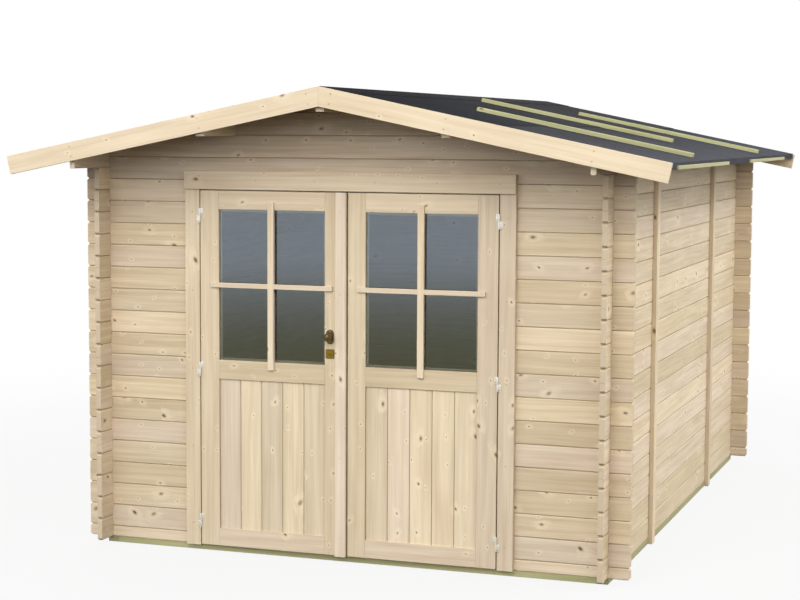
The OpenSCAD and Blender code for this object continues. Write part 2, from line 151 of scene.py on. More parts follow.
def noise(place, detail=2.0, rough=0.5, scale=1.0):
    feeds = {"Vector": place, "Scale": scale, "Detail": detail, "Roughness": rough}
    return put("ShaderNodeTexNoise", feeds)[0]


socketKinds = {  # the others are Float
    "Vector": "Vector", "Colour": "Color", "Pale": "Color", "Tan": "Color", "Base": "Color", "Worn": "Color",
    "Boards": "Int", "Seed": "Int", "Head": "Object", "Material": "Material", "Geometry": "Geometry"}


def newTree(name, kind, takes, gives):
    tree = bpy.data.node_groups.new(name, kind + "NodeTree")
    for way, labels in (("OUTPUT", gives), ("INPUT", takes)):
        for label in labels.split():
            socket = "NodeSocket" + socketKinds.get(label, "Float")
            tree.interface.new_socket(name=label, in_out=way, socket_type=socket)
    return tree, tree.nodes.new("NodeGroupInput").outputs, tree.nodes.new("NodeGroupOutput").inputs


# Which board a point is on: its tone, shade and cut from the tree, and its place across that board
def makeBoardPick():
    tree, takes, gives = newTree("boardPick", "Shader", "Across Pitch Start Luck",
                                 "Tone Shade Shift Local Edge")
    steps = calc("DIVIDE", calc("SUBTRACT", takes["Across"], takes["Start"]), takes["Pitch"])
    index = calc("ADD", calc("FLOOR", steps), takes["Luck"])
    luck = put("ShaderNodeTexWhiteNoise", {"W": index}, noise_dimensions="1D")["Color"]
    parts = put("ShaderNodeSeparateColor", {"Color": luck})
    local = times(centred(calc("FRACT", steps)), takes["Pitch"])
    edge = calc("SUBTRACT", times(takes["Pitch"], 0.5), calc("ABSOLUTE", local))
    send(gives, {"Tone": parts[0], "Shade": parts[1], "Shift": parts[2], "Local": local, "Edge": edge})
    return tree


grain = {
    "cut": (41.0, 7.3),  # metres along and across from which a board may be cut
    "cells": (8.0, 11.0),  # to a metre along and across, with one chance of a knot in each
    "knots": (0.0022, 0.0097),  # radius of the smallest and of the largest
    "lean": 1.4,  # spread of the angles they lie at
    "oval": 0.6,
    "halo": 0.46,  # how clearly the pale halo, the brown rim and the dark core show
    "rim": 0.35,
    "core": (0.5, 0.92),
    "haloTint": (1.10, 1.09, 1.04, 1),
    "rimColour": (0.42, 0.25, 0.12, 1),
    "coreColour": (0.13, 0.075, 0.04, 1),
    "stray": 0.03,  # metres that the grain wanders sideways
    "bend": -0.7,  # and its bend round a knot
    "ground": 0.36,  # share of tan, to which the streaks, lines and clouds add
    "streaks": 1.6,
    "lines": 0.8,
    "clouds": 0.9,
    "yellow": (1.02, 0.985, 0.88, 1),  # a board's tone lies between these two
    "pink": (1.0, 0.965, 0.985, 1),
    "shade": (0.86, 1.06),  # and its brightness between these
    "rough": (0.52, 0.72),
}


# Planed softwood: streaks along the grain that part round small knots, each with a pale halo
def makeSpruceGrain():
    tree, takes, gives = newTree("spruceGrain", "Shader", "Vector Tone Shade Shift Knots Pale Tan",
                                 "Colour Height Rough")
    cut = vector(*(times(takes["Shift"], span) for span in grain["cut"]))
    place = vecCalc("ADD", takes["Vector"], cut)

    # knots are oval and lean a little
    along, across = grain["cells"]
    cell = stretch(place, (along, across, 0.0))
    spot = put("ShaderNodeTexVoronoi", {"Vector": cell, "Scale": 1.0, "Randomness": 0.9},
               voronoi_dimensions="2D", feature="F1")
    luck = put("ShaderNodeSeparateColor", {"Color": spot["Color"]})
    off = stretch(vecCalc("SUBTRACT", cell, spot["Position"]), (1 / along, 1 / across, 0.0))
    off = spun(off, times(centred(luck[2]), grain["lean"]), "Z")
    off = stretch(off, (grain["oval"], 1.0, 0.0))
    has = calc("LESS_THAN", luck[0], takes["Knots"])
    small, large = grain["knots"]
    size = timesPlus(calc("POWER", luck[1], 4.0), large - small, small)
    reach = calc("DIVIDE", vecCalc("LENGTH", off), size)  # in radii of the knot
    core = times(fit(reach, 1.15, 0.6, smooth=True), has)
    rim = times(fit(reach, 2.3, 0.9, smooth=True), has)
    ragged = timesPlus(noise(stretch(place, (38.0, 75.0, 0.0))), 5.0, -2.5)
    halo = times(fit(calc("ADD", reach, ragged), 7.0, 1.0, smooth=True), has)

    # the grain wanders a little and bends round the knots
    xyz = split(place)
    wander = centred(noise(stretch(place, (1.1, 5.0, 0.0)), 1.0))
    side = timesPlus(wander, grain["stray"], xyz[1])
    side = timesPlus(times(split(off)[1], halo), grain["bend"], side)
    path = vector(xyz[0], side)
    streak = noise(stretch(path, (1.3, 38.0, 0.0)), 3.0, 0.6)
    line = noise(stretch(path, (2.2, 170.0, 0.0)), 2.0, 0.6)
    fibre = noise(stretch(place, (22.0, 620.0, 0.0)), 2.0, 0.6)
    cloud = noise(stretch(place, (1.9, 6.0, 0.0)))

    darker = grain["ground"]
    for pattern, weight in ((streak, grain["streaks"]), (line, grain["lines"]), (cloud, grain["clouds"])):
        darker = timesPlus(centred(pattern), weight, darker)
    colour = tint(fit(darker, 0.0, 1.0), takes["Pale"], takes["Tan"])
    yellow = tint(1.0, colour, grain["yellow"], "MULTIPLY")
    pink = tint(1.0, colour, grain["pink"], "MULTIPLY")
    colour = tint(takes["Tone"], yellow, pink)
    level = fit(takes["Shade"], 0.0, 1.0, *grain["shade"])
    colour = stretch(colour, vector(level, level, level))
    bright = tint(1.0, takes["Pale"], grain["haloTint"], "MULTIPLY")
    colour = tint(times(halo, grain["halo"]), colour, bright)
    colour = tint(times(rim, grain["rim"]), colour, grain["rimColour"])
    dark = times(core, fit(luck[2], 0.0, 1.0, *grain["core"]))
    colour = tint(dark, colour, grain["coreColour"])
    rough = fit(line, 0.2, 0.8, *grain["rough"])
    send(gives, {"Colour": colour, "Height": fibre, "Rough": rough})
    return tree


sawnEnd = {
    "ring": 0.0042,  # metres from one growth ring to the next
    "aside": 0.07,  # spread of the heart's place across the board
    "below": (0.05, 0.012),  # and under it: spread and least
    "fold": 0.028,  # the depth runs to and fro over one log
    "wobble": 0.004,
    "grey": (0.84, 0.82, 0.79, 1),
    "check": (0.20, 0.12, 0.06, 1),
}


# Sawn end of a log or board: growth rings round an off-centre heart, with a few radial checks
def makeEndGrain():
    tree, takes, gives = newTree("endGrain", "Shader", "Across Depth Shift Pale Tan", "Colour Height")
    side = timesPlus(centred(takes["Shift"]), sawnEnd["aside"], takes["Across"])
    flat = vector(side, takes["Depth"], takes["Shift"])
    below = timesPlus(calc("FRACT", times(takes["Shift"], 9.0)), *sawnEnd["below"])
    deep = calc("ADD", calc("PINGPONG", takes["Depth"], sawnEnd["fold"]), below)
    wobble = centred(noise(flat, scale=60.0))
    reach = timesPlus(wobble, sawnEnd["wobble"], vecCalc("LENGTH", vector(side, deep)))
    wave = calc("SINE", times(reach, 2 * math.pi / sawnEnd["ring"]))
    ring = fit(wave, -0.6, 1.0)
    angle = calc("ARCTAN2", side, deep)
    ray = vector(times(angle, 9.0), times(reach, 14.0), takes["Shift"])
    check = fit(noise(ray, 1.0), 0.66, 0.72, smooth=True)
    grit = noise(flat, scale=900.0)
    colour = tint(timesPlus(ring, 0.5, 0.3), takes["Pale"], takes["Tan"])
    colour = tint(0.85, colour, sawnEnd["grey"], "MULTIPLY")
    colour = tint(times(grit, 0.35), colour, takes["Tan"])
    colour = tint(times(check, 0.45), colour, sawnEnd["check"])
    send(gives, {"Colour": colour, "Height": grit})
    return tree


# Scuffs and cloudy handling marks on metal
def makeMetalWear():
    tree, takes, gives = newTree("metalWear", "Shader", "Vector Base Worn Amount", "Colour Rough Height")
    cloud = noise(takes["Vector"], 4.0, 0.6, 60.0)
    speck = noise(takes["Vector"], 3.0, 0.6, 700.0)
    brush = noise(stretch(takes["Vector"], (2600.0, 2600.0, 90.0)))
    worn = fit(timesPlus(speck, 0.5, cloud), 0.68, 0.95)
    colour = tint(times(worn, takes["Amount"]), takes["Base"], takes["Worn"])
    rough = timesPlus(cloud, 0.25, timesPlus(brush, 0.12, 0.14))
    height = timesPlus(brush, 0.4, times(speck, 0.6))
    send(gives, {"Colour": colour, "Rough": rough, "Height": height})
    return tree


groups = {"boardPick": makeBoardPick(), "spruceGrain": makeSpruceGrain(), "endGrain": makeEndGrain(),
          "metalWear": makeMetalWear()}


def useGroup(name, feeds):
    return put("ShaderNodeGroup", feeds, node_tree=groups[name])


def newMaterial(name):
    material = bpy.data.materials.new(name)
    material.use_nodes = True
    material.node_tree.nodes.clear()
    return material, material.node_tree


def closeMaterial(feeds):
    shader = put("ShaderNodeBsdfPrincipled", feeds)
    put("ShaderNodeOutputMaterial", {"Surface": shader[0]})


def bumped(height, strength, distance):
    return put("ShaderNodeBump", {"Height": height, "Strength": strength, "Distance": distance})[0]


woods = {  # pale and tan of the grain, share of cells with a knot, bump, pale of sawn ends where it differs
    "logs": ((0.74, 0.64, 0.49, 1), (0.53, 0.415, 0.275, 1), 0.42, 0.35, (0.82, 0.72, 0.565, 1)),
    "door": ((0.82, 0.712, 0.545, 1), (0.63, 0.51, 0.355, 1), 0.28, 0.3, None),
    # roofing: darker as painted shade under the overhang
    "roofing": ((0.56, 0.475, 0.36, 1), (0.40, 0.31, 0.205, 1), 0.4, 0.4, None),
    # beams: sides darker as painted shade under the roof, sawn ends paler as painted light where they stand out
    # in front
    "beams": ((0.66, 0.565, 0.43, 1), (0.47, 0.365, 0.245, 1), 0.3, 0.35, (0.93, 0.84, 0.70, 1)),
    "joinery": ((0.74, 0.637, 0.473, 1), (0.555, 0.441, 0.297, 1), 0.38, 0.3, None),
    "planed": ((0.785, 0.68, 0.54, 1), (0.615, 0.502, 0.367, 1), 0.18, 0.3, None),
    "foundation": ((0.41, 0.41, 0.23, 1), (0.26, 0.265, 0.125, 1), 0.3, 0.4, None),
    "treated": ((0.495, 0.495, 0.28, 1), (0.345, 0.35, 0.17, 1), 0.3, 0.4, None),
}
woodFace = {
    "jointColour": (0.25, 0.175, 0.10, 1),  # the line where two boards meet
    "jointShare": 0.62,
    "jointAtEnds": 1.6,  # that much wider at sawn ends
    "endRough": 0.15,  # and the ends that much rougher
    "shine": 0.3,
    "relief": 0.0008,
}


# along and across name the axes of the grain and of the board's face; slope turns both about Y
def woodFinish(name, wood, along, across, pitch, start, seed, slope=0.0, joint=0.0):
    pale, tan, knots, bump, sawn = woods[wood]
    material, tree = newMaterial(name)
    coords = add(tree, "ShaderNodeTexCoord", {})
    place, face = coords["Object"], coords["Normal"]
    if slope:
        place, face = spun(place, slope, "Y"), spun(face, slope, "Y")
    depth = ({"x", "y", "z"} - {along, across}).pop()
    axis = dict(zip("xyz", split(place)))
    board = useGroup("boardPick", {"Across": axis[across], "Pitch": pitch, "Start": start, "Luck": seed})
    wrap = calc("ADD", axis[across], axis[depth])  # runs on round the edges of a board
    side = useGroup("spruceGrain", {
        "Vector": vector(axis[along], wrap), "Tone": board["Tone"], "Shade": board["Shade"],
        "Shift": board["Shift"], "Knots": knots, "Pale": pale, "Tan": tan})
    end = useGroup("endGrain", {
        "Across": board["Local"], "Depth": axis[depth], "Shift": board["Shift"],
        "Pale": sawn or pale, "Tan": tan})
    facing = split(face)["xyz".index(along)]
    isEnd = fit(calc("ABSOLUTE", facing), 0.55, 0.8)
    colour = tint(isEnd, side["Colour"], end["Colour"])
    if joint:
        reach = timesPlus(isEnd, joint * woodFace["jointAtEnds"], joint)
        near = fit(calc("DIVIDE", board["Edge"], reach), 1.5, 0.5, smooth=True)
        colour = tint(times(near, woodFace["jointShare"]), colour, woodFace["jointColour"])
    height = put("ShaderNodeMix", {0: isEnd, 2: side["Height"], 3: end["Height"]}, data_type="FLOAT")[0]
    closeMaterial({
        "Base Color": colour, "Roughness": timesPlus(isEnd, woodFace["endRough"], side["Rough"]),
        "Specular IOR Level": woodFace["shine"], "Normal": bumped(height, bump, woodFace["relief"])})
    return material


feltLook = {
    "ground": ((0.017, 0.018, 0.022, 1), (0.029, 0.030, 0.035, 1)),
    "grainGlints": (0.075, 0.075, 0.08, 1),  # a share of the mineral grains is paler, as painted glints
    "pits": (0.012, 0.0125, 0.015, 1),
    "ridge": (0.46, 0.46, 0.48, 1),  # painted sheen, darker by this at the ridge
    "eaves": (1.85, 1.85, 1.9, 1),  # and paler by this at the eaves
    "washed": (0.2, 1.75),  # metres from the ridge between the two
    "rough": (0.75, 0.95),
    "shine": 0.05,
    "relief": 0.001,
}


def feltFinish(name):
    material, tree = newMaterial(name)
    place = objectPlace(tree)
    grainGlints = put("ShaderNodeTexVoronoi", {"Vector": place, "Scale": 420.0}, feature="F1")["Color"]
    grit = put("ShaderNodeSeparateColor", {"Color": grainGlints})[0]
    cloud = noise(stretch(place, (1.4, 2.6, 1.4)), 4.0, 0.6)
    fine = noise(place, 3.0, 0.6, 160.0)
    base = tint(fit(cloud, 0.3, 0.7), *feltLook["ground"])
    # painted glints: a share of the mineral grains is paler
    base = tint(times(fit(grit, 0.55, 1.0), 0.55), base, feltLook["grainGlints"])
    base = tint(times(fit(fine, 0.45, 0.75), 0.5), base, feltLook["pits"])
    # painted sheen: the felt is darker at the ridge and paler toward the eaves
    ridge = tint(1.0, base, feltLook["ridge"], "MULTIPLY")
    eaves = tint(1.0, base, feltLook["eaves"], "MULTIPLY")
    side = calc("ABSOLUTE", split(place)[0])
    down = calc("POWER", fit(side, *feltLook["washed"]), 1.4)
    closeMaterial({
        "Base Color": tint(down, ridge, eaves), "Roughness": fit(grit, 0.0, 1.0, *feltLook["rough"]),
        "Specular IOR Level": feltLook["shine"],
        "Normal": bumped(timesPlus(fine, 0.6, grit), 0.5, feltLook["relief"])})
    return material


paneLook = {
    "tint": ((0.60, 0.655, 0.66, 1), (0.70, 0.75, 0.75, 1)),  # clean and smeared
    "rough": 0.06,  # where it is smeared most
    "ior": 1.9,
    "mirror": (0.90, 0.95, 1.0, 1),
}


def glassFinish(name):
    material, tree = newMaterial(name)
    place = objectPlace(tree)
    smear = noise(stretch(place, (5.0, 5.0, 2.2)), 4.0, 0.6)
    closeMaterial({
        "Base Color": tint(smear, *paneLook["tint"]),
        "Roughness": fit(smear, 0.35, 0.75, 0.0, paneLook["rough"]),
        "Transmission Weight": 1.0, "IOR": paneLook["ior"], "Specular Tint": paneLook["mirror"]})
    return material


def metalFinish(name, base, worn, amount, metallic):
    material, tree = newMaterial(name)
    place = objectPlace(tree)
    wear = useGroup("metalWear", {"Vector": place, "Base": base, "Worn": worn, "Amount": amount})
    closeMaterial({
        "Base Color": wear["Colour"], "Roughness": wear["Rough"], "Metallic": metallic,
        "Normal": bumped(wear["Height"], 0.12, 0.0003)})
    return material


roof = {
    "pitch": math.radians(11.5),
    "boards": 47,  # on each slope
    "boardThick": 0.018,
    "boardRound": 0.0022,  # eased edge of a board
    "boardJoint": 0.0008,
    "bargeDepth": 0.096,  # square to the slope
}
slope = roof["pitch"]
boardsFront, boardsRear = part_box("right_roof_boards")[0][1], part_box("right_roof_boards")[1][1]
roofPitch = (boardsRear - boardsFront) / roof["boards"]
panel = {"boards": 5, "bevel": 0.004, "joint": 0.0006, "line": 0.0018}
panelStart = {side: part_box(side + "_panel")[0][0] for side in ("left", "right")}
panelPitch = (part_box("left_panel")[1][0] - panelStart["left"]) / panel["boards"]
log = {"pitch": 0.118, "foot": 0.030, "sideLine": 0.0026, "endLine": 0.0020}
endFoot = log["foot"] - log["pitch"] / 2  # the end walls' joints lie half a log off
wholeBoard = (50.0, -25.0)  # so wide that the piece is one board
timber = {  # wood, axes along and across, pitch, start, seed, slope, brown line at the joints
    "sideLogs": ("logs", "y", "z", log["pitch"], log["foot"], 11.0, 0.0, log["sideLine"]),
    "endLogs": ("logs", "x", "z", log["pitch"], endFoot, 57.0, 0.0, log["endLine"]),
    "longTimber": ("beams", "y", "x", 0.5, -0.25, 5.0),
    "bracing": ("logs", "z", "y", 1.0, -0.5, 23.0),
    "uprightJoinery": ("joinery", "z", "x", 0.26, -0.91, 31.0),
    "levelJoinery": ("joinery", "x", "z", 0.46, 0.0, 77.0),
    "leftPanelBoards": ("door", "z", "x", panelPitch, panelStart["left"], 43.0, 0.0, panel["line"]),
    "rightPanelBoards": ("door", "z", "x", panelPitch, panelStart["right"], 49.0, 0.0, panel["line"]),
    "stripWood": ("planed", "z", "x", 0.3, -0.1, 3.0),
    "levelStrip": ("planed", "x", "z", 0.46, 0.0, 8.0),
    "beadWood": ("planed", "x", "z", 0.4, 0.0, 13.0),
    "leftSlopeWood": ("planed", "x", "z", *wholeBoard, 91.0, slope),
    "rightSlopeWood": ("planed", "x", "z", *wholeBoard, 64.0, -slope),
    "leftRoofBoards": ("roofing", "x", "y", roofPitch, boardsFront, 15.0, slope),
    "rightRoofBoards": ("roofing", "x", "y", roofPitch, boardsFront, 35.0, -slope),
    "floorBoards": ("logs", "y", "x", 0.114, -1.36, 19.0),
    "treatedCross": ("foundation", "x", "y", 0.6, -1.9, 27.0),
    "treatedLong": ("foundation", "y", "x", 0.5, -0.25, 29.0),
    "eaveStrip": ("treated", "y", "x", 0.5, -0.25, 39.0),
    "treatedLeft": ("treated", "x", "y", 0.8, -1.2, 33.0, slope),
    "treatedRight": ("treated", "x", "y", 0.8, -1.2, 37.0, -slope),
}
metals = {  # colour, worn colour, share of wear, metallic
    "zincPlate": ((0.90, 0.90, 0.89, 1), (0.68, 0.68, 0.66, 1), 0.4, 0.7),
    "yellowSteel": ((0.52, 0.42, 0.24, 1), (0.33, 0.26, 0.14, 1), 0.7, 0.85),
    "bronzed": ((0.115, 0.08, 0.04, 1), (0.34, 0.24, 0.11, 1), 0.55, 0.9),
    "wornBrass": ((0.30, 0.205, 0.03, 1), (0.17, 0.12, 0.03, 1), 0.8, 0.9),
}
finishes = {name: woodFinish(name, *settings) for name, settings in timber.items()}
finishes.update({name: metalFinish(name, *settings) for name, settings in metals.items()})
finishes["bitumenFelt"] = feltFinish("bitumenFelt")
finishes["windowGlass"] = glassFinish("windowGlass")
print("finishes:", len(finishes))


def camelName(node):
    words = node.split("_")
    return words[0] + "".join(word.capitalize() for word in words[1:])


# Makes a mesh a piece of the model on the node's body; stands for the node unless it is only added to it
def finishPiece(name, mesh, node, stands=True):
    if "custom_normal" in mesh.attributes:
        mesh.attributes.remove(mesh.attributes["custom_normal"])
    piece = bpy.data.objects.new(name, mesh)
    scene.collection.objects.link(piece)
    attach(piece, bodyOf[node])
    if stands:
        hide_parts(node)
    return piece


def meshFrom(bm, name, materials, smooth=None):
    bmesh.ops.recalc_face_normals(bm, faces=bm.faces)
    mesh = bpy.data.meshes.new(name)
    bm.to_mesh(mesh)
    bm.free()
    for material in materials:
        mesh.materials.append(finishes[material])
    if smooth:  # round faces stay smooth, corners over this angle stay sharp
        mesh.polygons.foreach_set("use_smooth", [True] * len(mesh.polygons))
        mesh.set_sharp_from_angle(angle=smooth)
    return mesh


def solidOf(node):
    bm = bmesh.new()
    bm.from_mesh(nodes[node].data)
    bmesh.ops.remove_doubles(bm, verts=bm.verts, dist=1e-5)
    bmesh.ops.dissolve_limit(bm, angle_limit=0.01, verts=bm.verts, edges=bm.edges)
    return bm


def easeEdges(bm, edges, width):
    bmesh.ops.bevel(bm, geom=edges, offset=width, segments=2, profile=0.6, affect="EDGES", clamp_overlap=True)


# A copy of a node with its arrises eased; pick chooses a face's finish
def easedCopy(node, materials, width, pick=None, smooth=None, corner=0.3):
    bm = solidOf(node)
    easeEdges(bm, [edge for edge in bm.edges
                   if len(edge.link_faces) == 2 and edge.calc_face_angle() > corner], width)
    for face in bm.faces:
        face.material_index = pick(face) if pick else 0
    return finishPiece(camelName(node), meshFrom(bm, camelName(node), materials, smooth), node)


easing = (  # finish, eased edge in metres, nodes
    ("sideLogs", 0.0012, ("left_wall", "right_wall")),
    ("endLogs", 0.0012, ("front_wall_left", "front_wall_right", "rear_wall", "front_gable", "rear_gable")),
    ("longTimber", 0.0015, ("left_wall_plate", "right_wall_plate")),
    ("longTimber", 0.002, ("ridge_purlin", "side_purlins")),
    ("bracing", 0.002, ("storm_braces",)),
    ("treatedLong", 0.002, ("foundation_side_beams",)),
    ("treatedCross", 0.002, ("foundation_end_beams", "floor_joists")),
    ("eaveStrip", 0.0012, ("eave_strips",)),
    ("leftSlopeWood", 0.0008, ("front_left_bargeboard", "rear_left_bargeboard")),
    ("rightSlopeWood", 0.0008, ("front_right_bargeboard", "rear_right_bargeboard")),
    ("uprightJoinery", 0.002, ("left_door_post", "right_door_post")),
    ("levelJoinery", 0.002, ("door_head", "threshold")),
    ("uprightJoinery", 0.0015, ("left_stiles", "right_stiles")),
    ("levelJoinery", 0.0015, ("left_rails", "right_rails")),
    ("stripWood", 0.0015, ("cover_strip",)),
    ("bitumenFelt", 0.0006, ("roof_felt",)),
)
battenEase = 0.002
hingeEase = {"width": 0.0006, "smooth": 0.6, "corner": 0.6}  # the round of the knuckles stays one face
for finish, width, members in easing:
    for node in members:
        easedCopy(node, [finish], width)
easedCopy("roof_battens", ["treatedLeft", "treatedRight"], battenEase,
          lambda face: int(face.calc_center_median().x > 0))
for node in ("frame_hinges", "left_hinges", "right_hinges"):
    easedCopy(node, ["zincPlate"], **hingeEase)
print("eased copies:", sum(len(members) for _, _, members in easing) + 4)

for node in ("left_glass", "right_glass"):  # the panes stay as they are
    nodes[node].data.materials.clear()
    nodes[node].data.materials.append(finishes["windowGlass"])


# Geometry Nodes trees: each takes a mesh and its named sizes and ends in one painted mesh
def newShape(name, takes):
    return newTree(name, "Geometry", "Geometry Material " + takes, "Geometry")


def closeShape(tree, takes, gives, geometry):
    whole = put("GeometryNodeRealizeInstances", {"Geometry": geometry})[0]
    painted = put("GeometryNodeSetMaterial", {"Geometry": whole, "Material": takes["Material"]})[0]
    send(gives, {"Geometry": painted})
    return tree


def bevelledSection(width, height, bevel, steps):
    section = put("GeometryNodeCurvePrimitiveQuadrilateral", {"Width": width, "Height": height})[0]
    feeds = {"Curve": section, "Radius": bevel, "Count": steps}
    return put("GeometryNodeFilletCurve", feeds, mode="POLY")[0]


# Boards side by side along Y, each from X = 0 along X, with a bevel on their long edges
def makeBoardSheet():
    tree, takes, gives = newShape("boardSheet", "Boards Pitch Length Thick Joint Bevel")
    line = put("GeometryNodeCurvePrimitiveLine", {"End": vector(takes["Length"])})[0]
    width = calc("SUBTRACT", takes["Pitch"], takes["Joint"])
    section = bevelledSection(width, takes["Thick"], takes["Bevel"], 1)
    board = put("GeometryNodeCurveToMesh",
                {"Curve": line, "Profile Curve": section, "Fill Caps": True})[0]
    first = vector(0.0, times(takes["Pitch"], 0.5), times(takes["Thick"], 0.5))
    step = vector(0.0, takes["Pitch"])
    row = put("GeometryNodeMeshLine",
              {"Count": takes["Boards"], "Start Location": first, "Offset": step}, mode="OFFSET")[0]
    many = put("GeometryNodeInstanceOnPoints", {"Points": row, "Instance": board})[0]
    return closeShape(tree, takes, gives, many)


# A mitred loop of square beading round a Width x Height opening in XY, inside its edge
def makeBeadLoop():
    tree, takes, gives = newShape("beadLoop", "Width Height Bead Bevel")
    path = put("GeometryNodeCurvePrimitiveQuadrilateral",
               {side: calc("SUBTRACT", takes[side], takes["Bead"]) for side in ("Width", "Height")})[0]
    mitre = times(takes["Bead"], math.sqrt(2))  # every cross-section lies in a mitre
    section = bevelledSection(mitre, takes["Bead"], takes["Bevel"], 2)
    loop = put("GeometryNodeCurveToMesh", {"Curve": path, "Profile Curve": section})[0]
    return closeShape(tree, takes, gives, loop)


# A head on every point of a mesh, standing along its facing attribute and scaled by its size
def makeScrewSet():
    tree, takes, gives = newShape("screwSet", "Head Seed")
    named = "GeometryNodeInputNamedAttribute"
    facing = add(tree, named, {"Name": "facing"}, data_type="FLOAT_VECTOR")[0]
    size = add(tree, named, {"Name": "size"}, data_type="FLOAT")[0]
    turn = put("FunctionNodeAlignRotationToVector", {"Vector": facing}, axis="Z")[0]
    spin = put("FunctionNodeRandomValue", {2: 0.0, 3: 2 * math.pi, 8: takes["Seed"]}, data_type="FLOAT")[1]
    twist = put("FunctionNodeAxisAngleToRotation", {"Axis": (0, 0, 1), "Angle": spin})[0]
    feeds = {"Rotation": turn, "Rotate By": twist}
    turn = put("FunctionNodeRotateRotation", feeds, rotation_space="LOCAL")[0]
    head = put("GeometryNodeObjectInfo", {"Object": takes["Head"]})["Geometry"]
    many = put("GeometryNodeInstanceOnPoints", {
        "Points": takes["Geometry"], "Instance": head, "Rotation": turn, "Scale": size})[0]
    return closeShape(tree, takes, gives, many)


shapes = {"boardSheet": makeBoardSheet(), "beadLoop": makeBeadLoop(), "screwSet": makeScrewSet()}


# Runs a shape with its inputs and hands back a plain mesh
def grow(shape, settings, source=None):
    tree = shapes[shape]
    sprout = bpy.data.objects.new("sprout", source or bpy.data.meshes.new("sprout"))
    scene.collection.objects.link(sprout)
    modifier = sprout.modifiers.new("shape", "NODES")
    modifier.node_group = tree
    for item in tree.interface.items_tree:
        if item.in_out == "INPUT" and item.name in settings:
            modifier[item.identifier] = settings[item.name]
    mesh = bpy.data.meshes.new_from_object(sprout.evaluated_get(bpy.context.evaluated_depsgraph_get()))
    sprout.modifiers.remove(modifier)
    bpy.data.objects.remove(sprout)
    return mesh


def boardRow(boards, pitch, length, thick, joint, bevel, finish):
    return grow("boardSheet", {"Boards": boards, "Pitch": pitch, "Length": length, "Thick": thick,
                               "Joint": joint, "Bevel": bevel, "Material": finishes[finish]})


def joined(name, meshes, materials):
    bm = bmesh.new()
    for mesh in meshes:
        bm.from_mesh(mesh)
    return meshFrom(bm, name, materials)


# Down a slope from the ridge: X follows the slope, Z is square to it, Y keeps along the ridge
def onSlope(side, x, y, z):
    turn = Matrix.Rotation(slope, 4, "Y")
    if side < 0:
        turn = Matrix.Rotation(math.pi, 4, "Z") @ turn
    return Matrix.Translation((side * x, y, z)) @ turn


def roofBoards(node, side):
    low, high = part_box(node)
    near, far = sorted((abs(low[0]), abs(high[0])))
    thick = roof["boardThick"]
    length = (far - near - thick * math.sin(slope)) / math.cos(slope)
    name = camelName(node)
    mesh = boardRow(roof["boards"], roofPitch, length, thick, roof["boardJoint"], roof["boardRound"], name)
    start = boardsFront if side > 0 else boardsRear
    mesh.transform(onSlope(side, near, start, high[2] - thick / math.cos(slope)))
    return finishPiece(name, mesh, node)


roofBoards("left_roof_boards", -1)
roofBoards("right_roof_boards", 1)

felting = {
    "sheets": (0.93, 0.165),  # lower edges of the middle sheet and of the ridge sheet, from the ridge
    "thick": 0.0022,
    "bevel": 0.0007,
}


# Upper sheets of felt, each lapped over the one below
def feltSheets():
    low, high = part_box("roof_felt")
    length, thick = high[1] - low[1], felting["thick"]
    made = []
    for side in (-1, 1):
        for layer, reach in enumerate(felting["sheets"]):
            mesh = boardRow(1, length, reach, thick, 0.0, felting["bevel"], "bitumenFelt")
            lift = layer * thick / math.cos(slope)
            mesh.transform(onSlope(side, 0.0, low[1] if side > 0 else high[1], high[2] + lift))
            made.append(mesh)
    return finishPiece("feltSheets", joined("feltSheets", made, ["bitumenFelt"]), "roof_felt", stands=False)


feltSheets()

flooring = {"middle": 16, "side": 4, "thick": 0.019, "bevel": 0.0015, "joint": 0.0008, "clear": 0.004}


# Floor boards from front to back, shorter between the door posts
def floorBoards():
    low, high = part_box("floor")
    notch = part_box("right_door_post")[1][0] + flooring["clear"]
    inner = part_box("right_door_post")[1][1] + flooring["clear"]
    made = []
    for right, left, front, boards in ((high[0], notch, low[1], flooring["side"]),
                                       (notch, -notch, inner, flooring["middle"]),
                                       (-notch, low[0], low[1], flooring["side"])):
        mesh = boardRow(boards, (right - left) / boards, high[1] - front, flooring["thick"],
                        flooring["joint"], flooring["bevel"], "floorBoards")
        mesh.transform(Matrix.Translation((right, front, low[2])) @ Matrix.Rotation(math.pi / 2, 4, "Z"))
        made.append(mesh)
    return finishPiece("floorBoards", joined("floorBoards", made, ["floorBoards"]), "floor")


floorBoards()


# Upright boards between the rails of a leaf
def panelBoards(side):
    node = side + "_panel"
    low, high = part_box(node)
    mesh = boardRow(panel["boards"], panelPitch, high[2] - low[2], high[1] - low[1], panel["joint"],
                    panel["bevel"], side + "PanelBoards")
    mesh.transform(Matrix(((0, 1, 0, low[0]), (0, 0, 1, low[1]), (1, 0, 0, low[2]), (0, 0, 0, 1))))
    return finishPiece(camelName(node), mesh, node)


panelBoards("left")
panelBoards("right")
print("boards and felt laid")

glazing = {
    "upright": 0.034,  # width of the upright bar
    "level": 0.026,  # height of the level bar
    "ease": 0.0022,
    "lap": 0.0005,  # how far the parts of a cross run into each other
    "slim": 0.002,  # the packing behind a bar is this much narrower on each side
    "packingEase": 0.0006,
    "clear": 0.0002,  # from the packing and the beading to the pane
    "bead": 0.012,  # beading behind the glass
    "beadBevel": 0.004,
}


def easedBox(bm, low, high, width, index=0):
    corners = bmesh.ops.create_cube(bm, size=1.0)["verts"]
    for corner in corners:
        corner.co = [low[i] + (corner.co[i] + 0.5) * (high[i] - low[i]) for i in range(3)]
    for face in {face for corner in corners for face in corner.link_faces}:
        face.material_index = index
    easeEdges(bm, list({edge for corner in corners for edge in corner.link_edges}), width)


